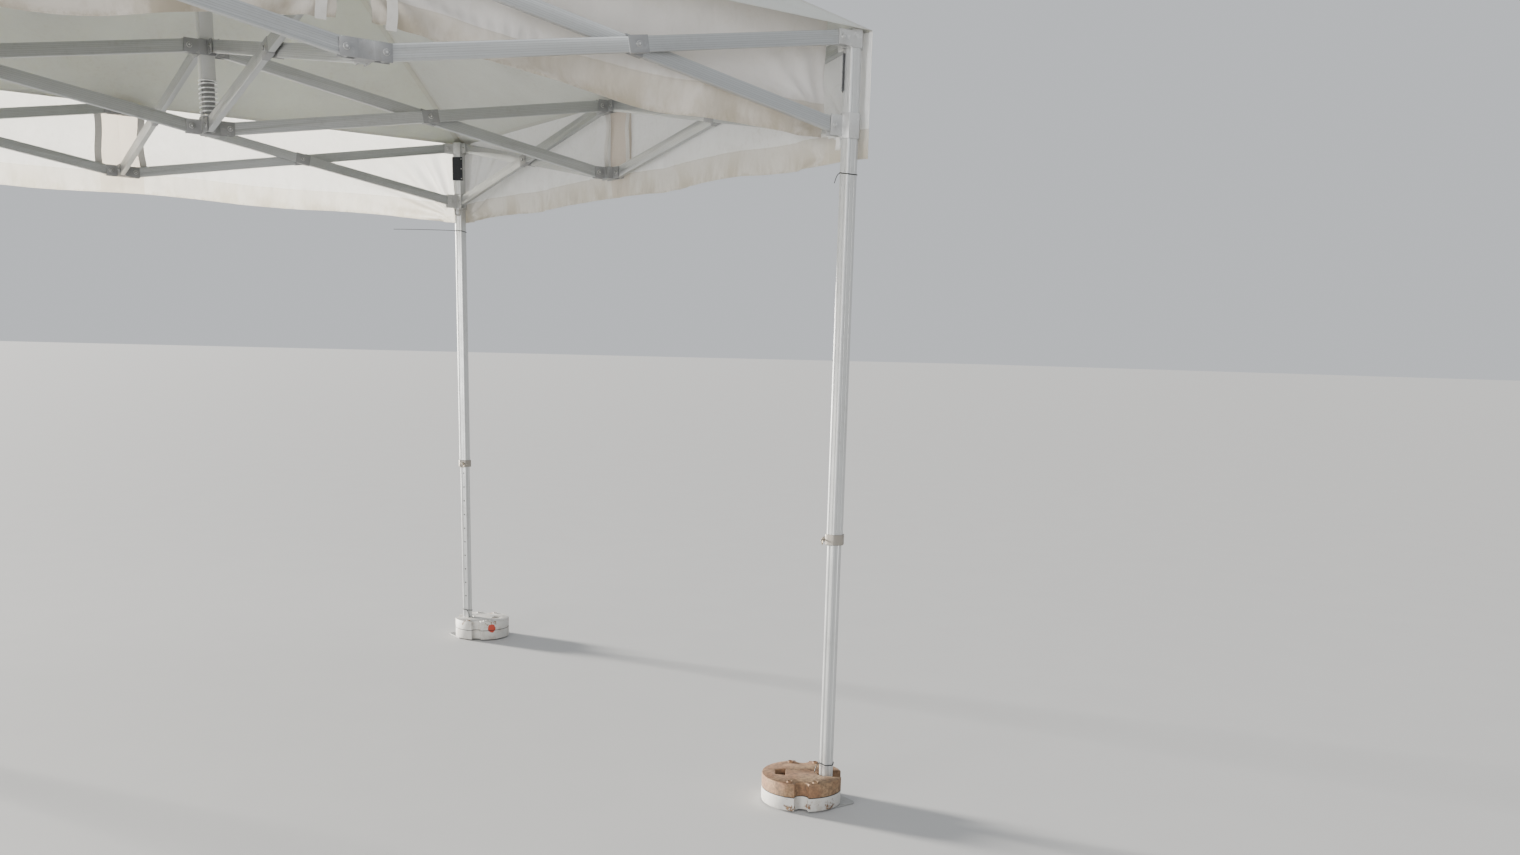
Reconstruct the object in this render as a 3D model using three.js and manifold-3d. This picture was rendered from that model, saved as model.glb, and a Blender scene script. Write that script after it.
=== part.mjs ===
// A 3 x 3 m pop-up folding marquee: hexagonal telescopic legs, a scissor truss on each side,
// four more scissors to a sprung centre hub, a pyramid roof with valances and iron leg weights.
// Millimetres, +Z up. The origin is on the ground under the centre pole.

import * as THREE from 'three';
import Module from 'manifold-3d';
import { mergeVertices } from 'three/addons/utils/BufferGeometryUtils.js';

// Driving dimensions
const HALF_SIDE = 1500;       // centre pole to the middle of each side, and so to each leg line
const UPPER = 2400;           // height of the upper pivots
const LOWER = 2155;           // height of the lower pivots, with the frame open
const LEG_ARM = 57;           // leg or pole axis to the pivots around it
const MID_ARM = 48;           // mid-side bracket axis to its pivots
const LAYER = 13;             // the two bars of a scissor lie this far each side of its plane

const BAR_TALL = 40;
const BAR_THICK = 18;
const BAR_END = 16;           // how far a bar runs past its end pivot
const BAR_CORNER = 8;         // cut on the corners of a bar's ends
const SLEEVE_LONG = 62;       // cast sleeve round a bar at the scissor's centre
const SLEEVE_TALL = 45;
const SLEEVE_THICK = 21;

const PIN_RADIUS = 4;
const PIN_HOLE_RADIUS = 4.5;
const HEAD_RADIUS = 7.5;
const HEAD_LENGTH = 5;
const PIN_SIDES = 6;
const HOLE_SIDES = 8;

const CHEEK_GAP = 0.7;        // between a bar and each cheek of its clevis
const CHEEK_THICK = 3.5;
const CHEEK_PAST = 16;        // how far a cheek runs past its pivot
const CHEEK_HALF_TALL = 22;

const LEG_FLATS = 50;         // outer leg tube across its flats
const LEG_WALL = 2.4;
const LEG_BOTTOM = 872;
const LEG_TOP = 2424;
const INNER_FLATS = 43.6;
const INNER_WALL = 2.2;
const INNER_TOP = 1450;
const COLLAR_FLATS = 59;
const COLLAR_TALL = 34;
const BRACKET_WALL = 3.4;
const SLIDING_GAP = 0.4;      // on each flat, between the slider and the leg
const FLAT_TO_HUB = 135;      // degrees: the flat of the right near leg that faces the hub

const POLE = 44;
const POLE_WALL = 2;
const POLE_TOP = 3270;
const POLE_CAP_HALF = 58;
const HUB_WALL = 4;
const HUB_LOWER_HEIGHTS = [-26, 32];  // below and above the lower pivots
const POST = 34;              // square post on the lower hub, inside the spring and the pole
const POST_TOP = 2340;
const SPRING_RADIUS = 26.8;
const SPRING_WIRE = 2.2;
const SPRING_TOP = 2302;
const SPRING_TURNS = 9;
const SPRING_STEPS = 8;       // straight pieces in a turn

const ROOF_HALF = 1541;
const ROOF_EAVE = 2428;
const ROOF_PEAK = 3292;
const ROOF_PEAK_HALF = 60;
const CLOTH = 4;
const VALANCE_BOTTOM = 2062;
const NEAR_VALANCE_IN = 41;   // the near valance hangs this far inside the plane of its truss
const NEAR_VALANCE_TO = 1440; // and runs this far each way from the side's middle
const NEAR_VALANCE_BOTTOM = 2125;
const NEAR_VALANCE_MIDDLE = 2235;
const SLIT_HALF = 46;
const SLIT_TOP = 2440;

const FOOT_HALF = 75;
const FOOT_THICK = 5;
const WEIGHT_RADIUS = 135;
const WEIGHT_TALL = 46;       // of one disc; two lie on each foot
const WEIGHT_SLOT = 62;
const WEIGHT_HANDLE = [64, 34];
const WEIGHT_HANDLE_FROM_CENTRE = 72;
const WEIGHT_NOTCH = 23;      // radius of the round notch in each flank
const WEIGHT_NOTCH_FROM_CENTRE = 130;

const TOUCH = 0.3;            // gap left between pieces that rest on each other

// Where each leg's weights lie: the direction from the leg's axis to the discs' centre, in degrees,
// and the distance, in millimetres
const WEIGHT_PLACES = [
  [142.5, 80],
  [-37.5, 76],
  [142.5, 76],
  [-142.5, 76],
];

const SPAN = HALF_SIDE - LEG_ARM - MID_ARM;
const RISE = UPPER - LOWER;
const BAR_LONG = Math.hypot(SPAN, RISE);
const BAR_SLOPE = Math.atan2(RISE, SPAN);
const MIDDLE = (UPPER + LOWER) / 2;

const wasm = await Module();
wasm.setup();

const aluminium = { color: 0xb4b6b4, roughness: 0.42, metalness: 0.85 };
const casting = { color: 0x7d8082, roughness: 0.55, metalness: 0.7 };
const barPaint = { color: 0xa9abab, roughness: 0.45, metalness: 0.75 };
const spring = { color: 0xc9cccc, roughness: 0.25, metalness: 1 };
const cloth = { color: 0xd9d8d4, roughness: 0.85, metalness: 0 };
const iron = { color: 0x8a7a6c, roughness: 0.8, metalness: 0.3 };

function toSolid(geometry) {
  const bare = geometry.clone();
  bare.deleteAttribute('normal');
  bare.deleteAttribute('uv');
  const merged = mergeVertices(bare, 1e-4);
  return new wasm.Manifold(new wasm.Mesh({
    numProp: 3,
    vertProperties: Float32Array.from(merged.attributes.position.array),
    triVerts: Uint32Array.from(merged.index.array),
  }));
}

function toGeometry(solid) {
  const mesh = solid.getMesh();
  const geometry = new THREE.BufferGeometry();
  geometry.setAttribute('position', new THREE.BufferAttribute(mesh.vertProperties, 3));
  geometry.setIndex(new THREE.BufferAttribute(mesh.triVerts, 1));
  geometry.computeVertexNormals();
  return geometry;
}

function joined(geometries) {
  return geometries.map(toSolid).reduce((all, one) => all.add(one));
}

function block(x, y, z) {
  const geometry = new THREE.BoxGeometry(x[1] - x[0], y[1] - y[0], z[1] - z[0]);
  return geometry.translate((x[0] + x[1]) / 2, (y[0] + y[1]) / 2, (z[0] + z[1]) / 2);
}

// A round rod along Y
function rodY(x, z, radius, from, to, sides = PIN_SIDES) {
  const rod = new THREE.CylinderGeometry(radius, radius, to - from, sides);
  return rod.rotateY(Math.PI / sides).translate(x, (from + to) / 2, z);
}

function turned(geometry, degrees) {
  return geometry.rotateZ(THREE.MathUtils.degToRad(degrees));
}

// A hexagonal prism along Z with one flat facing the hub from the right near leg
function hexagon(flats, bottom, top) {
  const corner = flats / 2 / Math.cos(Math.PI / 6);
  const prism = new THREE.CylinderGeometry(corner, corner, top - bottom, 6);
  prism.rotateX(Math.PI / 2);
  return turned(prism, FLAT_TO_HUB).translate(0, 0, (bottom + top) / 2);
}

function squareTaper(halfBottom, halfTop, bottom, top) {
  const height = top - bottom;
  const taper = new THREE.CylinderGeometry(halfTop * Math.SQRT2, halfBottom * Math.SQRT2, height, 4);
  taper.rotateX(Math.PI / 2).rotateZ(Math.PI / 4);
  return taper.translate(0, 0, (bottom + top) / 2);
}

// A clevis that points along +X from an axis at the origin: two cheeks and the bolt through them
function clevis(arm, layer, from, halfTall = CHEEK_HALF_TALL) {
  const near = BAR_THICK / 2 + CHEEK_GAP;
  const far = near + CHEEK_THICK;
  const reach = [from, arm + CHEEK_PAST];
  return [
    block(reach, [layer + near, layer + far], [-halfTall, halfTall]),
    block(reach, [layer - far, layer - near], [-halfTall, halfTall]),
    rodY(arm, 0, PIN_RADIUS, layer - far - HEAD_LENGTH, layer + far + HEAD_LENGTH),
    rodY(arm, 0, HEAD_RADIUS, layer - far - HEAD_LENGTH, layer - far + 1),
    rodY(arm, 0, HEAD_RADIUS, layer + far - 1, layer + far + HEAD_LENGTH),
  ];
}

function pointed(parts, degrees) {
  return parts.map((part) => turned(part, degrees));
}

// A bar lies along X in its own plane, centred on the scissor's pivot. The one that carries the
// pivot bolt has it through the other bar, which lies on its -Y side.
function bar(carriesBolt) {
  const half = BAR_LONG / 2 + BAR_END;
  const tall = BAR_TALL / 2;
  const outline = new THREE.Shape();
  outline.moveTo(-half, BAR_CORNER - tall);
  outline.lineTo(BAR_CORNER - half, -tall);
  outline.lineTo(half - BAR_CORNER, -tall);
  outline.lineTo(half, BAR_CORNER - tall);
  outline.lineTo(half, tall - BAR_CORNER);
  outline.lineTo(half - BAR_CORNER, tall);
  outline.lineTo(BAR_CORNER - half, tall);
  outline.lineTo(-half, tall - BAR_CORNER);
  outline.closePath();
  for (const end of [-1, 1]) {
    const hole = new THREE.Path();
    hole.absarc(end * BAR_LONG / 2, 0, PIN_HOLE_RADIUS, 0, 2 * Math.PI);
    outline.holes.push(hole);
  }
  const settings = { depth: BAR_THICK, bevelEnabled: false, curveSegments: HOLE_SIDES / 2 };
  const tube = new THREE.ExtrudeGeometry(outline, settings);
  tube.rotateX(Math.PI / 2).translate(0, BAR_THICK / 2, 0);
  const sleeve = block(
    [-SLEEVE_LONG / 2, SLEEVE_LONG / 2],
    [-SLEEVE_THICK / 2, SLEEVE_THICK / 2],
    [-SLEEVE_TALL / 2, SLEEVE_TALL / 2],
  );
  if (!carriesBolt) {
    const hole = rodY(0, 0, PIN_HOLE_RADIUS, -BAR_THICK, BAR_THICK, HOLE_SIDES);
    return joined([tube, sleeve]).subtract(toSolid(hole));
  }
  const face = SLEEVE_THICK / 2;
  const far = -2 * LAYER - face - 2 * TOUCH;
  const shaft = rodY(0, 0, PIN_RADIUS, far - HEAD_LENGTH, face + HEAD_LENGTH);
  const ownHead = rodY(0, 0, HEAD_RADIUS, face - 1, face + HEAD_LENGTH);
  const farHead = rodY(0, 0, HEAD_RADIUS, far - HEAD_LENGTH, far);
  return joined([tube, sleeve, shaft, ownHead, farHead]);
}

function legBracket() {
  const halfTall = LEG_TOP - UPPER;
  const bore = LEG_FLATS + 2 * TOUCH;
  const capTop = ROOF_EAVE + 0.9 - UPPER;
  const body = joined([
    hexagon(bore + 2 * BRACKET_WALL, -halfTall, capTop),
    ...pointed(clevis(LEG_ARM, LAYER, 5), 180),
    ...pointed(clevis(LEG_ARM, -LAYER, 5), 90),
  ]);
  return body.subtract(toSolid(hexagon(bore, -2 * halfTall, halfTall + TOUCH)));
}

function slider() {
  const bore = LEG_FLATS + 2 * SLIDING_GAP;
  const tabOut = bore / 2 + BRACKET_WALL;
  const knobTab = turned(block([bore / 2, tabOut], [-11, 11], [-60, -30]), FLAT_TO_HUB);
  const knob = rodY(0, -48, 11, -tabOut - 9, -tabOut + 1, HOLE_SIDES);
  const body = joined([
    hexagon(bore + 2 * BRACKET_WALL, -37, 37),
    ...pointed(clevis(LEG_ARM, -LAYER, 5, 30), 180),
    ...pointed(clevis(LEG_ARM, LAYER, 5, 30), 90),
    knobTab,
    turned(knob, FLAT_TO_HUB + 90),
  ]);
  return body.subtract(toSolid(hexagon(bore, -90, 90)));
}

// The mid-side brackets stand on the middle of the near side: two clevises along the side and
// one to the hub, which is along +Y
function midBracket(sideLayer, hubLayer) {
  const low = Math.min(0, 2 * sideLayer);
  const inner = Math.max(24, 2 * sideLayer);
  return joined([
    block([-24, 24], [low, inner], [-CHEEK_HALF_TALL, CHEEK_HALF_TALL]),
    ...clevis(MID_ARM, sideLayer, 20),
    ...pointed(clevis(MID_ARM, -sideLayer, 20), 180),
    ...pointed(clevis(MID_ARM, -hubLayer, inner - 2), 90),
  ]);
}

// A hub has four clevises round a square body. The upper one is a guide that the pole slides
// through, and the lower one carries the post that the spring and the pole stand on.
function hubBody(layer, heights) {
  const wall = POLE / 2 + CHEEK_GAP + HUB_WALL;
  const arms = [0, 90, 180, 270].flatMap((angle) => pointed(clevis(LEG_ARM, layer, wall - 2), angle));
  return joined([block([-wall, wall], [-wall, wall], heights), ...arms]);
}

function upperHub() {
  const bore = POLE / 2 + CHEEK_GAP;
  const guide = block([-bore, bore], [-bore, bore], [-2 * CHEEK_HALF_TALL, 2 * CHEEK_HALF_TALL]);
  return hubBody(LAYER, [UPPER - LEG_TOP, LEG_TOP - UPPER]).subtract(toSolid(guide));
}

function lowerHub() {
  const half = POST / 2;
  const post = block([-half, half], [-half, half], [0, POST_TOP - LOWER]);
  return hubBody(-LAYER, HUB_LOWER_HEIGHTS).add(toSolid(post));
}

function pole() {
  const half = POLE / 2;
  const hollow = half - POLE_WALL;
  const bottom = SPRING_TOP + TOUCH;
  const capTop = ROOF_PEAK - CLOTH - TOUCH;
  const tube = joined([
    block([-half, half], [-half, half], [bottom, POLE_TOP]),
    squareTaper(POLE_CAP_HALF, POLE_CAP_HALF - 4, POLE_TOP - 4, capTop),
  ]);
  const inside = block([-hollow, hollow], [-hollow, hollow], [bottom - 1, POLE_TOP - 6]);
  return tube.subtract(toSolid(inside));
}

function hubSpring() {
  const bottom = LOWER + HUB_LOWER_HEIGHTS[1] + 2 * TOUCH + SPRING_WIRE;
  const rise = SPRING_TOP - TOUCH - SPRING_WIRE - bottom;
  class Helix extends THREE.Curve {
    getPoint(t, target = new THREE.Vector3()) {
      const angle = Math.PI / 4 + 2 * Math.PI * SPRING_TURNS * t;
      const x = SPRING_RADIUS * Math.cos(angle);
      return target.set(x, SPRING_RADIUS * Math.sin(angle), bottom + rise * t);
    }
  }
  const section = new THREE.Shape();
  section.absarc(0, 0, SPRING_WIRE, 0, 2 * Math.PI);
  const settings = { extrudePath: new Helix(), steps: SPRING_TURNS * SPRING_STEPS, curveSegments: 3 };
  return toSolid(new THREE.ExtrudeGeometry(section, settings));
}

function outerLeg() {
  const tube = joined([
    hexagon(LEG_FLATS, LEG_BOTTOM, LEG_TOP),
    hexagon(COLLAR_FLATS, LEG_BOTTOM, LEG_BOTTOM + COLLAR_TALL),
    turned(block([COLLAR_FLATS / 2 - 2, COLLAR_FLATS / 2 + 9], [-5, 5],
      [LEG_BOTTOM + 8, LEG_BOTTOM + 24]), FLAT_TO_HUB),
  ]);
  return tube.subtract(toSolid(hexagon(LEG_FLATS - 2 * LEG_WALL, LEG_BOTTOM - 1, LEG_TOP + 1)));
}

function innerLeg() {
  const plate = block([-FOOT_HALF, FOOT_HALF], [-FOOT_HALF, FOOT_HALF], [0, FOOT_THICK]);
  const body = joined([plate, hexagon(INNER_FLATS, FOOT_THICK - 1, INNER_TOP)]);
  const hollow = hexagon(INNER_FLATS - 2 * INNER_WALL, FOOT_THICK, INNER_TOP + 1);
  return body.subtract(toSolid(hollow));
}

// Two iron discs, one on the other, with a slot that the leg stands in, a hole for the hand and a
// round notch in each flank
function weights(angle, distance) {
  const disc = new THREE.Shape();
  const mouth = Math.asin(WEIGHT_SLOT / 2 / WEIGHT_RADIUS);
  const notch = Math.asin(WEIGHT_NOTCH / WEIGHT_RADIUS);
  const quarter = Math.PI / 2;
  disc.absarc(0, 0, WEIGHT_RADIUS, -Math.PI + mouth, -quarter - notch);
  disc.absarc(0, -WEIGHT_NOTCH_FROM_CENTRE, WEIGHT_NOTCH, Math.PI, 0, true);
  disc.absarc(0, 0, WEIGHT_RADIUS, -quarter + notch, quarter - notch);
  disc.absarc(0, WEIGHT_NOTCH_FROM_CENTRE, WEIGHT_NOTCH, 0, -Math.PI, true);
  disc.absarc(0, 0, WEIGHT_RADIUS, quarter + notch, Math.PI - mouth);
  disc.lineTo(-distance, WEIGHT_SLOT / 2);
  disc.absarc(-distance, 0, WEIGHT_SLOT / 2, Math.PI / 2, -Math.PI / 2, true);
  const [long, wide] = WEIGHT_HANDLE;
  const x = WEIGHT_HANDLE_FROM_CENTRE;
  const handle = new THREE.Path();
  handle.moveTo(x - wide / 2, -long / 2);
  handle.lineTo(x - wide / 2, long / 2);
  handle.lineTo(x + wide / 2, long / 2 - 8);
  handle.lineTo(x + wide / 2, 8 - long / 2);
  disc.holes.push(handle);
  const settings = { depth: 2 * WEIGHT_TALL, bevelEnabled: false, curveSegments: 6 };
  const stack = new THREE.ExtrudeGeometry(disc, settings);
  return turned(stack.translate(distance, 0, FOOT_THICK + TOUCH), angle);
}

function roof() {
  const outer = squareTaper(ROOF_HALF, ROOF_PEAK_HALF, ROOF_EAVE, ROOF_PEAK);
  return toSolid(outer.clone()).subtract(toSolid(outer.translate(0, 0, -CLOTH)));
}

// The valance of the right, far and left sides is one band, open towards the near side
function valance() {
  const out = ROOF_HALF;
  const inside = ROOF_HALF - CLOTH;
  const band = new THREE.Shape([
    [-out, -out], [-inside, -out], [-inside, inside], [inside, inside],
    [inside, -out], [out, -out], [out, out], [-out, out],
  ].map(([x, y]) => new THREE.Vector2(x, y)));
  const settings = { depth: ROOF_EAVE - TOUCH - VALANCE_BOTTOM, bevelEnabled: false };
  return new THREE.ExtrudeGeometry(band, settings).translate(0, 0, VALANCE_BOTTOM);
}

// The near valance hangs inside its truss, drawn up in the middle, where it is slit for the bracket
// and the hub's bars
function nearValance() {
  const roofPitch = (ROOF_PEAK - ROOF_EAVE) / (ROOF_HALF - ROOF_PEAK_HALF);
  const outerFace = -HALF_SIDE + NEAR_VALANCE_IN - CLOTH;
  const top = ROOF_EAVE - CLOTH + (ROOF_HALF + outerFace) * roofPitch - TOUCH;
  const half = [
    [SLIT_HALF, SLIT_TOP],
    [SLIT_HALF, NEAR_VALANCE_MIDDLE],
    [NEAR_VALANCE_TO / 2, NEAR_VALANCE_BOTTOM + 15],
    [NEAR_VALANCE_TO, NEAR_VALANCE_BOTTOM],
    [NEAR_VALANCE_TO, top],
  ];
  const mirrored = half.map(([x, z]) => [-x, z]).reverse();
  const outline = new THREE.Shape([...half, ...mirrored].map(([x, z]) => new THREE.Vector2(x, z)));
  const band = new THREE.ExtrudeGeometry(outline, { depth: CLOTH, bevelEnabled: false });
  return band.rotateX(Math.PI / 2).translate(0, outerFace + CLOTH, 0);
}

function placed(name, shape, look, x = 0, y = 0, z = 0) {
  const geometry = shape.isBufferGeometry ? shape : toGeometry(shape);
  const mesh = new THREE.Mesh(geometry, new THREE.MeshStandardMaterial(look));
  mesh.name = name;
  mesh.position.set(x, y, z);
  return mesh;
}

// A bar between an upper and a lower pivot: along +X if it runs away from the side's middle
function placedBar(name, shape, centre, slope, degrees) {
  const mesh = placed(name, shape, barPaint, ...centre);
  mesh.rotation.set(0, -slope, THREE.MathUtils.degToRad(degrees), 'ZYX');
  return mesh;
}

const marquee = new THREE.Group();
const sideNames = ['near', 'right', 'far', 'left'];
const legNames = ['right_near', 'right_far', 'left_far', 'left_near'];
const plainBar = bar(false);
const boltedBar = bar(true);
const TO_HUB = 90;            // degrees, from along a side to across it

sideNames.forEach((side, index) => {
  const group = new THREE.Group();
  group.rotation.z = index * Math.PI / 2;
  const leg = legNames[index];
  const along = MID_ARM + SPAN / 2;
  const outer = -HALF_SIDE - LAYER;
  const inner = -HALF_SIDE + LAYER;
  const toHub = -HALF_SIDE + MID_ARM + SPAN / 2;
  group.add(
    placed(`mid_bracket_upper_${side}`, midBracket(LAYER, -LAYER), casting, 0, -HALF_SIDE, UPPER),
    placed(`mid_bracket_lower_${side}`, midBracket(-LAYER, LAYER), casting, 0, -HALF_SIDE, LOWER),
    placedBar(`bar_up_${side}_a`, plainBar, [along, outer, MIDDLE], BAR_SLOPE, 0),
    placedBar(`bar_down_${side}_a`, boltedBar, [along, inner, MIDDLE], -BAR_SLOPE, 0),
    placedBar(`bar_up_${side}_b`, plainBar, [-along, outer, MIDDLE], -BAR_SLOPE, 0),
    placedBar(`bar_down_${side}_b`, boltedBar, [-along, inner, MIDDLE], BAR_SLOPE, 0),
    placedBar(`hub_bar_down_${side}`, plainBar, [LAYER, toHub, MIDDLE], BAR_SLOPE, TO_HUB),
    placedBar(`hub_bar_up_${side}`, boltedBar, [-LAYER, toHub, MIDDLE], -BAR_SLOPE, TO_HUB),
    placed(`leg_outer_${leg}`, outerLeg(), aluminium, HALF_SIDE, -HALF_SIDE),
    placed(`leg_inner_${leg}`, innerLeg(), aluminium, HALF_SIDE, -HALF_SIDE),
    placed(`leg_bracket_${leg}`, legBracket(), casting, HALF_SIDE, -HALF_SIDE, UPPER),
    placed(`slider_${leg}`, slider(), casting, HALF_SIDE, -HALF_SIDE, LOWER),
  );
  const [angle, distance] = WEIGHT_PLACES[index];
  const discs = weights(angle - index * 90, distance);
  group.add(placed(`weights_${leg}`, discs, iron, HALF_SIDE, -HALF_SIDE));
  marquee.add(group);
});

marquee.add(
  placed('hub_upper', upperHub(), casting, 0, 0, UPPER),
  placed('hub_lower', lowerHub(), casting, 0, 0, LOWER),
  placed('centre_pole', pole(), aluminium),
  placed('hub_spring', hubSpring(), spring),
  placed('canopy_roof', roof(), cloth),
  placed('canopy_valance', valance(), cloth),
  placed('near_valance', nearValance(), cloth),
);

export default marquee;
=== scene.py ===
import math

import bmesh
import bpy
import numpy as np
from mathutils import Matrix, Vector


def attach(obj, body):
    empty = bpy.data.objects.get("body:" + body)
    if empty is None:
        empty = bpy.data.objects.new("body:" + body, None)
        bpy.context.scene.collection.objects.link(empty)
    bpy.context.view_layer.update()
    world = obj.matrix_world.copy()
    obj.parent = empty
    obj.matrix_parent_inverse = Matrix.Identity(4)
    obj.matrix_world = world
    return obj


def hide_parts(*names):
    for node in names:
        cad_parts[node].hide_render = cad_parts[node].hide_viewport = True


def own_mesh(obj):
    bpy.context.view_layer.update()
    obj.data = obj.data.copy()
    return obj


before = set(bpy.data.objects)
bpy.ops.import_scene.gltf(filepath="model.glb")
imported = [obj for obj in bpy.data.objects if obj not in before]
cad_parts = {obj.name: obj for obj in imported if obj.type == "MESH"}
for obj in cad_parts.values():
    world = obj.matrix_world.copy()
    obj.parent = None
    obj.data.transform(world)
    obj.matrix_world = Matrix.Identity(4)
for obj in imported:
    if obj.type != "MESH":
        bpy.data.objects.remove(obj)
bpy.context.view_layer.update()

# Roof
# The roof is coated white polyester, cut as four triangles and sewn along the hips. It is stretched
# from the peak of the centre pole to the tops of the legs, and dishes a little between the hips.
# Each side is made as two halves that meet edge to edge, and each half folds away with its own bar.
SIDES = ["near", "right", "far", "left"]
LEGS = ["right_near", "right_far", "left_far", "left_near"]
HALF_SIDE = 1.5
ROOF_HALF = 1.541
EAVE = 2.428
PEAK = 3.292
PEAK_HALF = 0.06
ROOF_DISH = 0.045
CLOTH_WALL = 0.0011
PATCH_HALF = 0.085
# The roof's white is darker, greyer and greener than the valances', though it is the same cloth: painted
# shade on the roof's underside.
ROOF_WHITE_WITH_PAINTED_SHADE = (0.67, 0.69, 0.64)
CLOTH_GRIME = (0.36, 0.31, 0.235)


def turned(points, quarters):
    """The points of the near side turned by quarter turns about the centre pole, to another side."""
    x, y, z = points[..., 0], points[..., 1], points[..., 2]
    cos, sin = [(1, 0), (0, 1), (-1, 0), (0, -1)][quarters % 4]
    return np.stack([cos * x - sin * y, sin * x + cos * y, z], -1)


def grid_faces(rows, columns, wrap_rows=False, wrap_columns=False, flip=False):
    """Four corner numbers for every cell of a grid of points, the last row or column joined to the first
    where it wraps."""
    i = np.arange(rows if wrap_rows else rows - 1)[:, None]
    j = np.arange(columns if wrap_columns else columns - 1)[None, :]
    i2, j2 = (i + 1) % rows, (j + 1) % columns
    cells = np.stack([i * columns + j, i * columns + j2, i2 * columns + j2, i2 * columns + j], -1)
    cells = cells.reshape(-1, 4)
    return cells[:, ::-1] if flip else cells


def unit(vectors):
    """Each vector divided by its length."""
    return vectors / np.linalg.norm(vectors, axis=-1, keepdims=True)


def placed(name, data):
    """A new object of the scene, with a mesh, a light or a camera as its data."""
    obj = bpy.data.objects.new(name, data)
    bpy.context.scene.collection.objects.link(obj)
    return obj


def lay_uv(mesh, uv):
    """A UV map with one pair for each point."""
    corner = np.zeros(len(mesh.loops), np.int32)
    mesh.loops.foreach_get("vertex_index", corner)
    layer = mesh.uv_layers.new(name="UVMap")
    layer.data.foreach_set("uv", uv.reshape(-1, 2)[corner].astype(np.float32).ravel())


def piece(name, points, faces, look, body, uv=None, smooth=40):
    """One object at the origin from an array of points and lists of corner numbers, riding a body. Edges that
    bend by more than smooth degrees stay sharp."""
    mesh = bpy.data.meshes.new(name)
    mesh.from_pydata(points.reshape(-1, 3).tolist(), [], [list(map(int, f)) for f in faces])
    mesh.polygons.foreach_set("use_smooth", np.ones(len(mesh.polygons), bool))
    if uv is not None:
        lay_uv(mesh, uv)
    mesh.validate()
    if smooth is not None:
        mesh.set_sharp_from_angle(angle=math.radians(smooth))
    obj = placed(name, mesh)
    mesh.materials.append(look)
    if body:
        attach(obj, body)
    return obj


def node_group(name, inputs, outputs):
    """An empty shader group with its named sockets: (name, type, value) in and (name, type) out."""
    group = bpy.data.node_groups.new(name, "ShaderNodeTree")
    for label, kind, value in inputs:
        socket = group.interface.new_socket(name=label, in_out="INPUT", socket_type=kind)
        if value is not None:
            socket.default_value = value
    for label, kind in outputs:
        group.interface.new_socket(name=label, in_out="OUTPUT", socket_type=kind)
    return group, group.nodes.new("NodeGroupInput"), group.nodes.new("NodeGroupOutput")


def add(tree, kind, **settings):
    """A node of that kind. A setting whose name starts with in_ goes to the socket of that name, with spaces
    for its underscores, and any other is a property of the node."""
    node = tree.nodes.new(kind)
    for key, value in settings.items():
        if key.startswith("in_"):
            node.inputs[key[3:].replace("_", " ")].default_value = value
        else:
            setattr(node, key, value)
    return node


def feed(socket, value):
    """Gives a socket its value: a plain number, a colour of three numbers, or another node's output."""
    if isinstance(value, (int, float)):
        socket.default_value = value
    elif isinstance(value, tuple):
        socket.default_value = (*value, 1)
    else:
        value.id_data.links.new(value, socket)


def math_node(operation, *values, clamp=False):
    """The result of one arithmetic step on sockets or plain numbers, in the tree of the first socket."""
    tree = next(value.id_data for value in values if not isinstance(value, (int, float)))
    node = add(tree, "ShaderNodeMath", operation=operation, use_clamp=clamp)
    for socket, value in zip(node.inputs, values):
        feed(socket, value)
    return node.outputs[0]


def times(a, b):
    """a times b."""
    return math_node("MULTIPLY", a, b)


def plus(a, b):
    """a plus b."""
    return math_node("ADD", a, b)


def minus(a, b):
    """a less b."""
    return math_node("SUBTRACT", a, b)


def close_to(value, at, within):
    """1 where a value is that close to a number, and 0 elsewhere."""
    return math_node("COMPARE", value, at, within)


def ramp(value, low, high):
    """0 below low and 1 above high, straight between them."""
    node = add(value.id_data, "ShaderNodeMapRange", clamp=True, in_From_Min=low, in_From_Max=high)
    feed(node.inputs["Value"], value)
    return node.outputs["Result"]


def mixed(factor, a, b):
    """Colour a where factor is 0 and colour b where it is 1."""
    node = add(factor.id_data, "ShaderNodeMix", data_type="RGBA")
    for index, value in ((0, factor), (6, a), (7, b)):
        feed(node.inputs[index], value)
    return node.outputs[2]


def axes(vector):
    """The parts of a vector, by the names X, Y and Z."""
    split = add(vector.id_data, "ShaderNodeSeparateXYZ")
    feed(split.inputs[0], vector)
    return split.outputs


def noise(vector, scale, detail=4, roughness=0.55, stretch=None):
    """Cloudy noise on a vector, in cycles a metre, optionally stretched along its axes."""
    if stretch:
        mapping = add(vector.id_data, "ShaderNodeMapping", in_Scale=stretch)
        feed(mapping.inputs["Vector"], vector)
        vector = mapping.outputs["Vector"]
    node = add(vector.id_data, "ShaderNodeTexNoise", in_Scale=scale, in_Detail=detail, in_Roughness=roughness)
    feed(node.inputs["Vector"], vector)
    return node.outputs["Fac"]


def grime_group():
    """Soft clouds of dirt: large patches times small specks, 0 where clean and 1 where dirtiest."""
    group, inside, outside = node_group(
        "grime",
        [("Vector", "NodeSocketVector", None), ("Amount", "NodeSocketFloat", 0.5)],
        [("Mask", "NodeSocketFloat")],
    )
    vector = inside.outputs["Vector"]
    patches = ramp(noise(vector, 2.6, 6), 0.42, 0.72)
    specks = ramp(noise(vector, 55, 5, 0.65), 0.5, 0.74)
    both = times(patches, plus(specks, 0.35))
    mask = math_node("MULTIPLY", both, inside.outputs["Amount"], clamp=True)
    feed(outside.inputs["Mask"], mask)
    return group


GRIME = grime_group()


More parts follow.
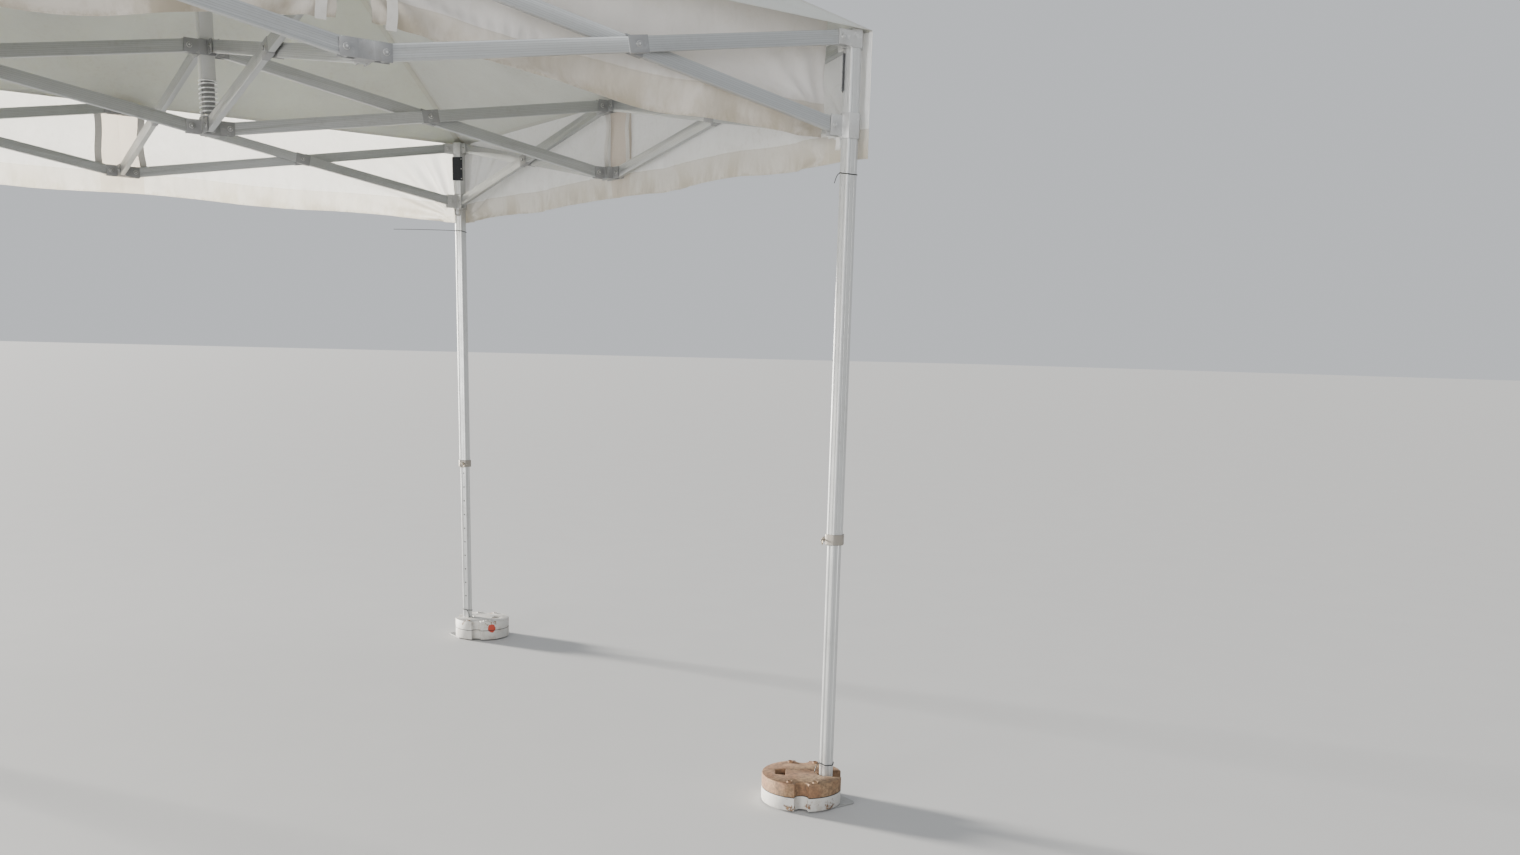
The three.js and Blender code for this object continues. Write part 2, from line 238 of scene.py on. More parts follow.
def grime(vector, amount):
    """The mask of the grime group, placed in a material with its own amount."""
    node = add(vector.id_data, "ShaderNodeGroup", node_tree=GRIME, in_Amount=amount)
    feed(node.inputs["Vector"], vector)
    return node.outputs["Mask"]


def weave_group():
    """The height of a plain weave on the cloth's UV map in metres: the product of two sines, one across the
    other."""
    group, inside, outside = node_group(
        "weave",
        [("Vector", "NodeSocketVector", None), ("Threads", "NodeSocketFloat", 900.0)],
        [("Height", "NodeSocketFloat")],
    )
    on = axes(inside.outputs["Vector"])
    waves = []
    for axis in ("X", "Y"):
        turns = times(on[axis], inside.outputs["Threads"])
        waves.append(math_node("SINE", times(turns, 2 * math.pi)))
    product = times(*waves)
    feed(outside.inputs["Height"], plus(times(product, 0.5), 0.5))
    return group


WEAVE = weave_group()


def material(name, **sockets):
    """A new material, its Principled shader with plain values on its sockets, and the coordinates that its
    patterns are laid on."""
    made = bpy.data.materials.new(name)
    made.use_nodes = True
    tree = made.node_tree
    shader = tree.nodes["Principled BSDF"]
    for key, value in sockets.items():
        shader.inputs[key.replace("_", " ")].default_value = value
    return made, shader, add(tree, "ShaderNodeTexCoord").outputs


def painted(shader, colour, rough=None):
    """Feeds a colour, and where it varies a roughness, into the shader."""
    feed(shader.inputs["Base Color"], colour)
    if rough is not None:
        feed(shader.inputs["Roughness"], rough)


def bumped(shader, height, strength, distance):
    """Feeds a height into the shader's normal through a Bump node."""
    bump = add(shader.id_data, "ShaderNodeBump", in_Strength=strength, in_Distance=distance)
    feed(bump.inputs["Height"], height)
    feed(shader.inputs["Normal"], bump.outputs["Normal"])


def cloth_material(name, white, thin, hem_dirt, band, band_dirt_and_shade, patch):
    """Coated polyester: off-white with faint clouds and water marks, a doubled band along the sewn edge with
    a row of stitches on each side, dirt that has run down to it, a fine weave and soft creases. The doubled
    band and a piece sewn over the middle of the side are painted browner and darker: partly dirt and their
    own brown, partly painted shade where two layers of cloth hold back the light from behind.

    The UV map is in metres, its V measured from the sewn edge. white is the cloth's colour, darkened as
    painted shade on the roof and the tucked near valance. thin is how far light spreads in the cloth,
    hem_dirt how dirty its edge is and band the doubled band's width. The next argument is how far the band is
    browned and darkened, and patch how far the sewn piece is."""
    made, shader, place = material(name, Roughness=0.6, Subsurface_Weight=0.75, Subsurface_Scale=thin,
                                   Subsurface_Radius=(1.0, 0.97, 0.88), Sheen_Weight=0.12,
                                   Specular_IOR_Level=0.35)
    where = place["Object"]
    along, edge, _ = axes(place["UV"])
    cloudy = ramp(noise(where, 1.3, 5), 0.35, 0.7)
    clouds = mixed(cloudy, white, tuple(0.9 * c for c in white))
    marks = close_to(noise(where, 2.1, 5, 0.6), 0.55, 0.006)
    clouds = mixed(times(marks, 0.1), clouds, (0.55, 0.52, 0.45))
    middle = math_node("LESS_THAN", math_node("ABSOLUTE", along), PATCH_HALF)
    # The sewn piece is painted brown and darker: partly its own colour, partly painted shade where its two
    # layers hold back the light from behind.
    clouds = mixed(times(middle, patch), clouds, (0.46, 0.36, 0.29))
    # The doubled band is painted browner and darker: partly dirt, partly painted shade where its two layers
    # hold back the light from behind.
    tape = math_node("LESS_THAN", edge, band)
    doubled = mixed(times(tape, band_dirt_and_shade), clouds, (0.52, 0.46, 0.38))
    low = minus(1.0, ramp(edge, 0.0, band * 1.35))
    streaks = noise(where, 8, 6, 0.64, (1, 1, 0.35))
    run = times(low, ramp(streaks, 0.42, 0.58))
    lip = minus(1.0, ramp(edge, 0.0, 0.02))
    specks = times(lip, ramp(noise(where, 40, 5, 0.7), 0.4, 0.6))
    dirt = times(math_node("MAXIMUM", run, specks), hem_dirt)
    dirt = math_node("MAXIMUM", dirt, grime(where, 0.32))
    coloured = mixed(dirt, doubled, CLOTH_GRIME)
    rows = [close_to(edge, at, 0.0007) for at in (0.003, band - 0.003)]
    dashes = math_node("SINE", times(along, 2 * math.pi / 0.004))
    stitched = times(plus(*rows), math_node("GREATER_THAN", dashes, -0.4))
    coloured = mixed(times(stitched, 0.35), coloured, (0.33, 0.31, 0.28))
    painted(shader, coloured)
    weave = add(shader.id_data, "ShaderNodeGroup", node_tree=WEAVE)
    feed(weave.inputs["Vector"], place["UV"])
    creases = noise(where, 9, 4, 0.5, (1, 1, 0.6))
    fine = times(weave.outputs["Height"], 0.03)
    height = plus(fine, creases)
    height = minus(height, times(stitched, 0.04))
    bumped(shader, height, 0.6, 0.014)
    return made


# The roof's cloth is darkened through its colour: painted shade.
ROOF_CLOTH = cloth_material("roof_cloth_with_painted_shade", ROOF_WHITE_WITH_PAINTED_SHADE, thin=0.0012, hem_dirt=0.25, band=0.022, band_dirt_and_shade=0.16,
                            patch=0.0)


def ripples(a, b, seed, longest, shortest, count=9):
    """A smooth random height over two coordinates, mostly within 2 of zero: plane waves in random directions,
    each shorter and lower than the one before."""
    rng = np.random.default_rng(seed)
    total = np.zeros(np.broadcast(a, b).shape)
    for k in range(count):
        length = longest * (shortest / longest) ** (k / (count - 1))
        angle, phase = rng.uniform(0, 2 * math.pi, 2)
        wave = (a * math.cos(angle) + b * math.sin(angle)) * 2 * math.pi / length + phase
        total += np.sin(wave) * length / longest
    return total


def creases_from(a, b, at_a, at_b, reach, folds, phase):
    """Folds that fan out from a point where the cloth is drawn in: waves of the angle about it, highest a
    little way out and gone beyond the reach."""
    from_a, from_b = a - at_a, b - at_b
    away = np.hypot(from_a, from_b)
    angle = np.arctan2(from_b, from_a + 1e-9)
    return np.sin(folds * angle + phase) * away / (away + 0.06) * np.exp(-(away / reach) ** 1.5)


def cloth_sheet(name, points, flip, look, uv):
    """A grid of points as a sheet with a wall of about a millimetre, its rim kept out of the shading."""
    faces = grid_faces(*points.shape[:2], flip=flip)
    sheet = piece(name, points, faces, look, None, uv, None)
    wall = sheet.modifiers.new("cloth", "SOLIDIFY")
    wall.thickness = CLOTH_WALL
    wall.offset = -1
    even = sheet.modifiers.new("normals", "WEIGHTED_NORMAL")
    even.mode = "FACE_AREA"
    return sheet


def roof_point(along, out, quarter):
    """A point of the near side's panel. It climbs straight from the eave to the peak, less a dish that is
    deepest halfway up and midway between the hips, plus folds that fan out from the corners and the peak and
    low swells, all of which die away at the hips."""
    up = (ROOF_HALF - out) / (ROOF_HALF - PEAK_HALF)
    across = np.abs(along) / out
    inside = 1 - across ** 2
    z = EAVE + (PEAK - EAVE) * up
    z = z - ROOF_DISH * np.sin(math.pi * up) * inside
    held = inside * np.clip(up / 0.05, 0, 1)
    fan = creases_from(np.abs(along), out, ROOF_HALF, ROOF_HALF, 0.55, 19, 0.4 + quarter)
    peak = creases_from(along, out, 0.0, 0.0, 0.55, 16, 1.1 * quarter)
    z = z + held * (0.011 * fan + 0.006 * peak + 0.007 * ripples(along, out, 11 + quarter, 1.1, 0.16))
    return np.stack([along, -out, z], -1)


# For each half the way that it would be squashed in the folded frame is worked out: square to the bar that
# it rides, and for the second half of a side, which crosses the first, leaning away at its lower end.
# Nothing applies it.
BAR_SLOPE = math.radians(9.96)
GATHERED_LEAN = {"a": 0, "b": 0.075}
PANEL_COLUMNS, PANEL_ROWS = 84, 96
slope = np.array([0.0, ROOF_HALF - PEAK_HALF, PEAK - EAVE])
SLOPE_LONG = float(np.linalg.norm(slope))
slope /= SLOPE_LONG
for quarter, side in enumerate(SIDES):
    for half, sign in (("a", 1), ("b", -1)):
        across, up = np.meshgrid(np.linspace(0, 1, PANEL_COLUMNS), np.linspace(0, 1, PANEL_ROWS))
        out = ROOF_HALF + (PEAK_HALF - ROOF_HALF) * up
        near_panel = roof_point(sign * across * out, out, quarter)
        from_hip = (1 - across) * out * SLOPE_LONG / math.hypot(SLOPE_LONG, ROOF_HALF - PEAK_HALF)
        sewn = np.minimum(from_hip, up * SLOPE_LONG + 0.004)
        uv = np.stack([up * SLOPE_LONG + across * 0.3, sewn], -1)
        points = turned(near_panel, quarter)
        panel = cloth_sheet(f"roof_panel_{side}_{half}", points, sign < 0, ROOF_CLOTH, uv)
        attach(panel, f"bar_up_{side}_{half}")
        bar_way = np.array([sign * math.cos(BAR_SLOPE), 0, math.sin(BAR_SLOPE)])
        gather = unit(slope - (slope @ bar_way) * bar_way)
        lean = GATHERED_LEAN[half]
        gather = (gather - lean * bar_way) / math.hypot(1, lean)
        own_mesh(panel)

# The patch sewn over the pole's cap: a square that rises a little towards its middle.
CROWN_HALF = PEAK_HALF + 0.002
CROWN_FOOT, CROWN_RISE = PEAK + 0.0012, 0.004
span = np.linspace(-1, 1, 15)
px, py = np.meshgrid(span, span)
bulge = (1 - px ** 2) * (1 - py ** 2)
crown = np.stack([px * CROWN_HALF, py * CROWN_HALF, CROWN_FOOT + CROWN_RISE * bulge], -1)
rim = (1 - np.maximum(abs(px), abs(py))) * PEAK_HALF
peak_patch = cloth_sheet("roof_peak_patch", crown, False, ROOF_CLOTH, np.stack([px * PEAK_HALF, rim], -1))
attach(peak_patch, "centre_pole")
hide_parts("canopy_roof")

# Valances
# A strip of the same cloth hangs from the eave all round, with a doubled hem painted browner and darker:
# partly dirt, partly painted shade where the doubled cloth holds back the light from behind. On the near side
# it is tucked in behind the truss and drawn up in the middle, where it is slit; its darker grey there is
# painted shade.
VALANCE_DROP = 0.366
HEM_BAND = 0.088
NEAR_PLANE, NEAR_HALF = 1.4605, 1.44
NEAR_SLIT_HALF = 0.046
NEAR_HEM = 2.125
STRIP_COLUMNS, NEAR_COLUMNS, STRIP_ROWS = 140, 130, 36
VALANCE_WHITE = (0.84, 0.83, 0.79)
# The tucked near valance is the same cloth as the others in a darker, pinker grey: painted shade.
NEAR_GREY_PAINTED_SHADE = (0.74, 0.70, 0.67)
VALANCE_CLOTH = cloth_material("valance_cloth", VALANCE_WHITE, thin=0.010, hem_dirt=0.9, band=HEM_BAND,
                               band_dirt_and_shade=0.66, patch=0.85)
NEAR_CLOTH = cloth_material("near_valance_cloth_painted_shade", NEAR_GREY_PAINTED_SHADE, thin=0.006, hem_dirt=0.85, band=HEM_BAND,
                            band_dirt_and_shade=0.55, patch=0.0)


def hem_band(along, from_hem):
    """The doubled hem's own relief: a step at its upper edge, and puckers along the stitching there."""
    step = 0.0012 / (1 + np.exp((from_hem - HEM_BAND) / 0.004))
    pucker = np.sin(along * 2 * math.pi / 0.038 + 2.2 * np.sin(along * 7)) * np.exp(
        -((from_hem - HEM_BAND) / 0.016) ** 2)
    return step + 0.0022 * pucker


def valance_point(along, down, quarter):
    """A point of a side valance: straight down from the eave, with upright waves that grow towards the hem,
    folds that fan out from where each leg draws the cloth in, and a hem that rises and falls a little."""
    corner = ROOF_HALF - np.abs(along)
    hold = np.clip(corner / 0.12, 0, 1)
    hang = VALANCE_DROP - 0.010 * hold * np.sin(along * 3.3 + quarter) ** 2
    z = EAVE - down * hang
    wave = np.sin(along * 6.1 + quarter * 1.7) * 0.012 + ripples(along, z, 5 + quarter, 0.6, 0.07) * 0.010
    folds = creases_from(corner, z, 0.04, 2.08, 0.5, 17, 0.8 * quarter) * 0.024
    sway = 0.004 + wave * down + folds * np.clip(down / 0.3, 0, 1)
    sway = np.where(sway < 0, 0.006 * np.tanh(sway / 0.006), 0.03 * np.tanh(sway / 0.03))
    out = ROOF_HALF + hold * (sway + hem_band(along, (1 - down) * hang))
    return np.stack([along, -out, z], -1)


def near_valance_point(along, down):
    """A point of the tucked valance. Its upper edge follows the roof's underside, its hem climbs towards the
    slit, and the cloth drawn up there lies in long folds beside the truss."""
    share = np.abs(along) / NEAR_HALF
    climb = np.exp(-(share / 0.36) ** 2)
    bottom = NEAR_HEM + 0.11 * climb + 0.004 * np.sin(along * 13)
    top = roof_point(along, np.full_like(along, NEAR_PLANE - 0.012), 0)[..., 2] - 0.0015
    z = top + (bottom - top) * down
    long_folds = np.sin(down * 12.5 + 1.6 * np.sin(share * 3.4 + along) + share * 3.0) * (0.6 + climb)
    slit = creases_from(np.abs(along), z, 0.0, 2.40, 1.1, 21, 0.9 + np.sign(along))
    corner = creases_from(NEAR_HALF - np.abs(along), z, 0.0, 2.15, 0.5, 15, 0.5)
    bulge = 0.018 * np.sin(math.pi * np.clip(down, 0, 1)) * (0.3 + climb)
    inward = 0.012 + bulge + down * (0.013 * long_folds + 0.016 * corner + 0.015 * slit)
    inward = inward + down * 0.008 * ripples(along, z, 3, 0.6, 0.09)
    inward = 0.052 * np.tanh(np.maximum(inward, 0) / 0.052)
    inside = NEAR_PLANE - inward + hem_band(along, (1 - down) * (top - bottom))
    return np.stack([along, -inside, z], -1)


for quarter, side in enumerate(SIDES):
    for half, sign in (("a", 1), ("b", -1)):
        down = np.linspace(0, 1, STRIP_ROWS)
        if side == "near":
            along = sign * np.linspace(NEAR_SLIT_HALF, NEAR_HALF, NEAR_COLUMNS)
            along, down = np.meshgrid(along, down)
            points = near_valance_point(along, down)
            look, size, rests = NEAR_CLOTH, (1.41, 0.324), "canopy_roof"
        else:
            along = sign * np.linspace(0, ROOF_HALF, STRIP_COLUMNS)
            along, down = np.meshgrid(along, down)
            points = turned(valance_point(along, down, quarter), quarter)
            look, size, rests = VALANCE_CLOTH, (1.566, VALANCE_DROP), f"leg_bracket_{LEGS[quarter]}"
        uv = np.stack([along, (1 - down) * size[1]], -1)
        strip = cloth_sheet(f"valance_{side}_{half}", points, sign > 0, look, uv)
        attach(strip, f"bar_up_{side}_{half}")
        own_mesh(strip)
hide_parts("near_valance")
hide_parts("canopy_valance")

# Castings
# The hubs, brackets and sliders are die-cast aluminium alloy, grey and satin, with rounded edges. Each
# takes the ends of the bars between its cheeks and holds them with a domed steel bolt.
CAST_GREY = (0.30, 0.305, 0.31)
UPPER, LOWER = 2.400, 2.155
LEG_ARM, MID_ARM, LAYER = 0.057, 0.048, 0.013
CHEEK_FACE = 0.0132


def cast_material(name, grey, rough=0.46):
    """Die-cast alloy: fine pebbled skin, pale scuffs and a film of dust."""
    made, shader, place = material(name, Metallic=0.4, Roughness=rough)
    where = place["Object"]
    scuffs = ramp(noise(where, 38, 8, 0.7), 0.56, 0.66)
    bright = tuple(min(1, 1.7 * c) for c in grey)
    scuffed = mixed(times(scuffs, 0.45), grey, bright)
    dusty = mixed(grime(where, 0.55), scuffed, (0.2, 0.18, 0.15))
    handled = times(noise(where, 60, 4), 0.3)
    painted(shader, dusty, plus(handled, rough - 0.15))
    pebbles = noise(where, 420, 2, 0.5)
    height = plus(pebbles, times(scuffs, -0.4))
    bumped(shader, height, 0.35, 0.0006)
    return made


CASTING = cast_material("casting", CAST_GREY)


def eased(obj, width):
    """A bevel of that width on the sharp edges."""
    edge = obj.modifiers.new("edges", "BEVEL")
    edge.width = width
    edge.segments = 2
    edge.limit_method = "ANGLE"
    return edge


def rounded(name, node, width, look, body):
    """The node's own surface, its doubles merged and its flat faces joined, with edges rounded by a bevel. It
    stands for the node."""
    work = bmesh.new()
    work.from_mesh(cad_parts[node].data)
    bmesh.ops.remove_doubles(work, verts=work.verts, dist=2e-6)
    bmesh.ops.dissolve_limit(work, angle_limit=math.radians(0.6), verts=work.verts, edges=work.edges)
    mesh = bpy.data.meshes.new(name)
    work.to_mesh(mesh)
    work.free()
    mesh.materials.clear()
    mesh.materials.append(look)
    mesh.polygons.foreach_set("use_smooth", np.ones(len(mesh.polygons), bool))
    obj = placed(name, mesh)
    edge = eased(obj, width)
    edge.angle_limit = math.radians(32)
    edge.harden_normals = True
    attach(obj, body)
    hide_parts(node)
    return obj


def plain_steel(name, colour, rough):
    """Zinc-plated steel: bright, with faint cloudy patches and fine pits."""
    made, shader, place = material(name, Metallic=1.0, Roughness=rough)
    where = place["Object"]
    patches = ramp(noise(where, 90, 5), 0.4, 0.7)
    patched = mixed(patches, colour, tuple(0.72 * c for c in colour))
    painted(shader, patched, plus(times(patches, 0.2), rough))
    bumped(shader, noise(where, 700, 2), 0.2, 0.0003)
    return made


BOLT_STEEL = plain_steel("bolt_steel", (0.70, 0.70, 0.68), 0.3)


def full_turn(count):
    """The angles of that many equal steps round a full turn."""
    return np.linspace(0, 2 * math.pi, count, endpoint=False)


def stack_faces(rows, sides, start=0, flip=False):
    """The faces of a stack of loops, their points counted from start: a band between each loop and the next,
    and one face to close each end."""
    last = start + (rows - 1) * sides
    faces = [list(cell) for cell in grid_faces(rows, sides, wrap_columns=True) + start]
    faces += [list(range(start + sides - 1, start - 1, -1)), list(range(last, last + sides))]
    return [face[::-1] for face in faces] if flip else faces


BOLT_PROFILE = np.array([[0, 5.2], [2.4, 5.1], [4.2, 4.7], [5.6, 3.9], [6.3, 2.8], [6.5, 1.3], [8.3, 1.1],
                         [8.6, 0.6], [8.6, -0.2], [0, -0.2]]) / 1000


def bolts(name, places, body, size=1.0):
    """Domed heads of bolts or rivets: the profile of a head turned about its axis, times size. places holds a
    point under each head and the way that it faces."""
    points, faces = [], []
    sides, rows = 20, len(BOLT_PROFILE)
    turn = full_turn(sides)
    radius, height = BOLT_PROFILE[:, 0][:, None, None], BOLT_PROFILE[:, 1][:, None, None]
    for number, (at, facing) in enumerate(places):
        facing = np.array(facing, float)
        side = unit(np.cross(facing, [0.13, 0.31, 0.94]))
        other = np.cross(facing, side)
        ring = np.cos(turn)[None, :, None] * side + np.sin(turn)[None, :, None] * other
        head = np.maximum(radius, 1e-4) * ring + height * facing
        points.append((np.array(at) + size * head).reshape(-1, 3))
        faces += stack_faces(rows, sides, number * rows * sides)
    obj = piece(name, np.concatenate(points), faces, BOLT_STEEL, body, smooth=50)
    fix = bmesh.new()
    fix.from_mesh(obj.data)
    bmesh.ops.recalc_face_normals(fix, faces=fix.faces)
    fix.to_mesh(obj.data)
    fix.free()
    return obj


def clevis_bolts(centre, arm, angle, layer):
    """The two heads of the bolt through a clevis. It reaches out from the centre by its arm, at an angle
    about the upright, with its bar in that layer to its left."""
    heading = np.array([math.cos(angle), math.sin(angle), 0])
    left = np.array([-heading[1], heading[0], 0])
    return [(np.array(centre) + heading * arm + left * (layer + face * CHEEK_FACE), left * face)
            for face in (1, -1)]


for node, height, layer in (("hub_upper", UPPER, LAYER), ("hub_lower", LOWER, -LAYER)):
    rounded(f"{node}_cast", node, 0.0013, CASTING, node)
    places = [place for quarter in range(4)
              for place in clevis_bolts((0, 0, height), LEG_ARM, quarter * math.pi / 2, layer)]
    bolts(f"{node}_bolts", places, node)

for quarter, side in enumerate(SIDES):
    for level, height, layer in (("upper", UPPER, LAYER), ("lower", LOWER, -LAYER)):
        node = f"mid_bracket_{level}_{side}"
        rounded(f"{node}_cast", node, 0.0013, CASTING, node)
        centre = turned(np.array([0, -HALF_SIDE, height]), quarter)
        way = quarter * math.pi / 2
        places = clevis_bolts(centre, MID_ARM, way, layer)
        places += clevis_bolts(centre, MID_ARM, way + math.pi, -layer)
        places += clevis_bolts(centre, MID_ARM, way + math.pi / 2, layer)
        bolts(f"{node}_bolts", places, node)

# Centre pole and spring
# The pole is a square aluminium tube with a cap under the peak. It slides through the upper hub and
# stands on a bright coil spring that pushes the roof tight from the lower hub.
LEG_GREY = (0.60, 0.61, 0.605)


def extruded_material(name, colour, axis_stretch):
    """Satin extruded aluminium: fine die lines, long along the axis whose stretch is small, faint smears and
    a little dirt."""
    made, shader, place = material(name, Metallic=0.62, Roughness=0.36)
    where = place["Object"]
    lines = noise(where, 260, 3, 0.6, axis_stretch)
    smears = ramp(noise(where, 5, 6, 0.6), 0.35, 0.75)
    base = mixed(times(lines, 0.35), colour, tuple(0.8 * c for c in colour))
    base = mixed(grime(where, 0.4), base, (0.25, 0.23, 0.2))
    painted(shader, base, plus(times(smears, 0.16), 0.3))
    bumped(shader, lines, 0.25, 0.0004)
    return made, shader, place


LEG_METAL = extruded_material("leg_metal", LEG_GREY, (1, 1, 0.01))[0]
rounded("centre_pole_tube", "centre_pole", 0.0015, LEG_METAL, "centre_pole")


def swept(name, path, radius, look, body, sides=10, closed=False):
    """A round section carried along a path of points, square to the path's direction at each."""
    path = np.asarray(path, float)
    if closed:
        along = unit(np.roll(path, -1, 0) - np.roll(path, 1, 0))
    else:
        along = unit(np.gradient(path, axis=0))
    guide = np.array([0, 0, 1.0]) if abs(along[:, 2]).max() < 0.9 else np.array([0.3, 0.9, 0.1])
    first = unit(np.cross(along, guide))
    second = np.cross(along, first)
    turn = full_turn(sides)
    ring = np.cos(turn)[None, :, None] * first[:, None] + np.sin(turn)[None, :, None] * second[:, None]
    points = path[:, None] + radius * ring
    if closed:
        faces = grid_faces(len(path), sides, wrap_rows=True, wrap_columns=True)
    else:
        faces = stack_faces(len(path), sides)
    return piece(name, points, faces, look, body, smooth=60)


SPRING_STEEL = plain_steel("spring_steel", (0.92, 0.93, 0.93), 0.3)
SPRING_BOTTOM, SPRING_TOP = 2.1898, 2.2995
SPRING_RADIUS, SPRING_WIRE, SPRING_TURNS = 0.0272, 0.0025, 9
# The coil climbs steadily, but for a closed turn at each end.
turns = np.linspace(0, SPRING_TURNS, SPRING_TURNS * 28 + 1)
climb = np.clip((turns - 0.7) / 7.6, 0, 1)
helix = np.stack([SPRING_RADIUS * np.cos(2 * math.pi * turns), SPRING_RADIUS * np.sin(2 * math.pi * turns),
                  SPRING_BOTTOM + climb * (SPRING_TOP - SPRING_BOTTOM)
                  + (turns - SPRING_TURNS * climb) * 0.0004], -1)
spring = swept("hub_spring_coil", helix, SPRING_WIRE, SPRING_STEEL, "hub_lower")
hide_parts("hub_spring")

# Bars
# The bars of the scissors are flat rectangular aluminium tubes with fine lines along them, closed by
# plugs. A cast sleeve clamps each one at the middle, where a domed bolt pins the pair together.
BAR_GREY = (0.50, 0.515, 0.515)
RISE = UPPER - LOWER
SPAN = HALF_SIDE - LEG_ARM - MID_ARM
BAR_LONG = math.hypot(SPAN, RISE)
MIDDLE = (UPPER + LOWER) / 2
GROOVES = (0.0035, 0.0085, 0.0145)
TUBE_ASIDE, TUBE_UP, SLEEVE_HALF = 0.0092, 0.0202, 0.031


def bar_material():
    """The bars' aluminium. Their UV map holds how far a point is along the bar and above its axis, in metres,
    and three pairs of shallow lines run along it, bumped in and painted darker as shade in the grooves."""
    made, shader, place = extruded_material("bar_metal", BAR_GREY, (1, 1, 1))
    along, up, _ = axes(place["UV"])
    from_axis = math_node("ABSOLUTE", up)
    lines = [close_to(from_axis, at, 0.0006) for at in GROOVES]
    grooves = plus(plus(lines[0], lines[1]), lines[2])
    base = shader.inputs["Base Color"].links[0].from_socket
    # The grooves are painted darker: painted shade in them.
    painted(shader, mixed(times(grooves, 0.35), base, (0.2, 0.2, 0.2)))
    combine = add(shader.id_data, "ShaderNodeCombineXYZ")
    feed(combine.inputs[0], times(along, 0.01))
    feed(combine.inputs[1], up)
    die_lines = noise(combine.outputs[0], 900, 3, 0.6)
    height = minus(times(die_lines, 0.15), grooves)
    bumped(shader, height, 0.4, 0.0006)
    return made


BAR_METAL = bar_material()


def bar(node, centre, along, across):
    """A bar's own surface with rounded edges, its UV map laid along it. The sleeve's faces are cast metal:
    those near the middle that stand proud of the tube, and the sleeve's two ends."""
    mesh = rounded(f"{node}_tube", node, 0.0016, BAR_METAL, node).data
    mesh.materials.append(CASTING)
    up = np.cross(along, across)
    middle = np.zeros(len(mesh.polygons) * 3, np.float32)
    mesh.polygons.foreach_get("center", middle)
    middle = middle.reshape(-1, 3) - centre
    proud = (np.abs(middle @ across) > TUBE_ASIDE) | (np.abs(middle @ up) > TUBE_UP)
    to_end = np.abs(middle @ along) - SLEEVE_HALF
    sleeve = (to_end < 0.0005) & (proud | (np.abs(to_end) < 0.0005))
    mesh.polygons.foreach_set("material_index", sleeve.astype(np.int32))
    co = np.zeros(len(mesh.vertices) * 3, np.float32)
    mesh.vertices.foreach_get("co", co)
    co = co.reshape(-1, 3) - centre
    lay_uv(mesh, np.stack([co @ along, co @ up], -1))


# Each bar's middle on the near side, the way that it runs there, the layer that it lies in, whether it rises
# or falls along its run, and whether it carries the bolt of its pair.
FROM_HUB = -LEG_ARM - SPAN / 2
FROM_MIDDLE = MID_ARM + SPAN / 2
OWN_FACE, FAR_FACE = 0.0105, 2 * LAYER + 0.0111
BARS = [
    ("hub_bar_down_{}", (0, FROM_HUB), (0, -1), LAYER, -1, False),
    ("hub_bar_up_{}", (0, FROM_HUB), (0, -1), -LAYER, 1, True),
    ("bar_up_{}_a", (FROM_MIDDLE, -HALF_SIDE), (1, 0), -LAYER, 1, False),
    ("bar_down_{}_a", (FROM_MIDDLE, -HALF_SIDE), (1, 0), LAYER, -1, True),
    ("bar_up_{}_b", (-FROM_MIDDLE, -HALF_SIDE), (-1, 0), -LAYER, 1, False),
    ("bar_down_{}_b", (-FROM_MIDDLE, -HALF_SIDE), (-1, 0), LAYER, -1, True),
]
for quarter, side in enumerate(SIDES):
    for pattern, (x, y), (dx, dy), layer, rises, bolted in BARS:
        node = pattern.format(side)
        aside = np.array([layer, 0, 0]) if dx == 0 else np.array([0, layer, 0])
        centre = turned(np.array([x, y, MIDDLE]) + aside, quarter)
        along = turned(np.array([dx * SPAN, dy * SPAN, rises * RISE]) / BAR_LONG, quarter)
        across = turned(aside / abs(layer), quarter)
        bar(node, centre, along, across)
        if bolted:
            heads = [(centre + across * OWN_FACE, across), (centre - across * FAR_FACE, -across)]
            bolts(f"{node}_pivot_bolt", heads, node)

# Legs
# The legs are two hexagonal aluminium tubes, one inside the other, with shallow channels down their
# faces. A cast collar at the foot of the outer one holds a sprung pin with a pull ring and a lever.
FLAT_TO_HUB = 135.0
LEG_PLACES = {"right_near": (HALF_SIDE, -HALF_SIDE), "right_far": (HALF_SIDE, HALF_SIDE),
              "left_far": (-HALF_SIDE, HALF_SIDE), "left_near": (-HALF_SIDE, -HALF_SIDE)}
OUTER_FLATS, INNER_FLATS, COLLAR_FLATS = 0.050, 0.0436, 0.059
OUTER_BORE, INNER_BORE, COLLAR_BORE = 0.0452, 0.0392, 0.0502
OUTER_FOOT, OUTER_TOP = 0.872, 2.424
INNER_FOOT, INNER_TOP = 0.0052, 1.450
COLLAR_TOP = 0.906
PIN_PITCH, PIN_RADIUS = 0.07, 0.0035


def stood(points, degrees, place):
    """Points about an upright axis turned by an angle, and the axis moved to a place on the floor."""
    cos, sin = math.cos(math.radians(degrees)), math.sin(math.radians(degrees))
    return np.stack([cos * points[..., 0] - sin * points[..., 1] + place[0],
                     sin * points[..., 0] + cos * points[..., 1] + place[1], points[..., 2]], -1)


def to_leg(points, index):
    """Points about a leg's axis, +X towards the hub, moved to that leg."""
    return stood(points, FLAT_TO_HUB + 90 * index, LEG_PLACES[LEGS[index]])


def leg_way(x, y, index):
    """The direction that x and y give about a leg's axis."""
    return to_leg(np.array([x, y, 0]), index) - to_leg(np.zeros(3), index)


